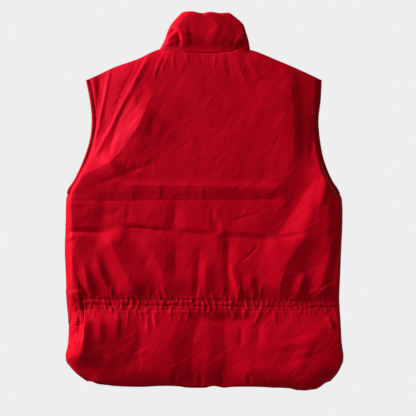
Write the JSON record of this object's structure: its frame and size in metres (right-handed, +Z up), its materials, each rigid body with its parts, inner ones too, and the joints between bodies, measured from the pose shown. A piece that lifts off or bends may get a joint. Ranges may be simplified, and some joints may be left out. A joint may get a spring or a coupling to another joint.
{
  "type": "puffer vest",
  "caption": "Padded sleeveless vest with a stand collar, bound armholes and an elastic waist casing, laid flat front down with its back up.",
  "frame": {"origin": "middle of the vest's footprint, on the surface that it lies on", "axes": "+X towards the wearer's right side, +Y from the hem to the collar, +Z up out of the back"},
  "size_m": [0.5703, 0.7736, 0.0531],
  "materials": {
    "shell": "crisp plain-woven red shell cloth with a soft sheen, over light padding",
    "trim": "the same red cloth folded flat and stitched down",
    "stud": "red enamelled press-stud cap"
  },
  "bodies": {
    "root": {"back_panel": "shell", "waist_casing": "shell", "back_skirt": "shell", "front_left": "shell", "front_right": "shell", "collar_back": "shell", "collar_front_left": "shell", "collar_front_right": "shell", "armhole_binding_back_left": "trim", "armhole_binding_back_right": "trim", "armhole_binding_front_left": "trim", "armhole_binding_front_right": "trim", "pocket_welt_left": "trim", "pocket_welt_right": "trim", "front_placket": "trim", "stud_cap_1": "stud", "stud_cap_2": "stud", "stud_cap_3": "stud", "stud_cap_4": "stud", "stud_cap_5": "stud", "stud_cap_6": "stud", "stud_cap_7": "stud"}
  },
  "joints": []
}
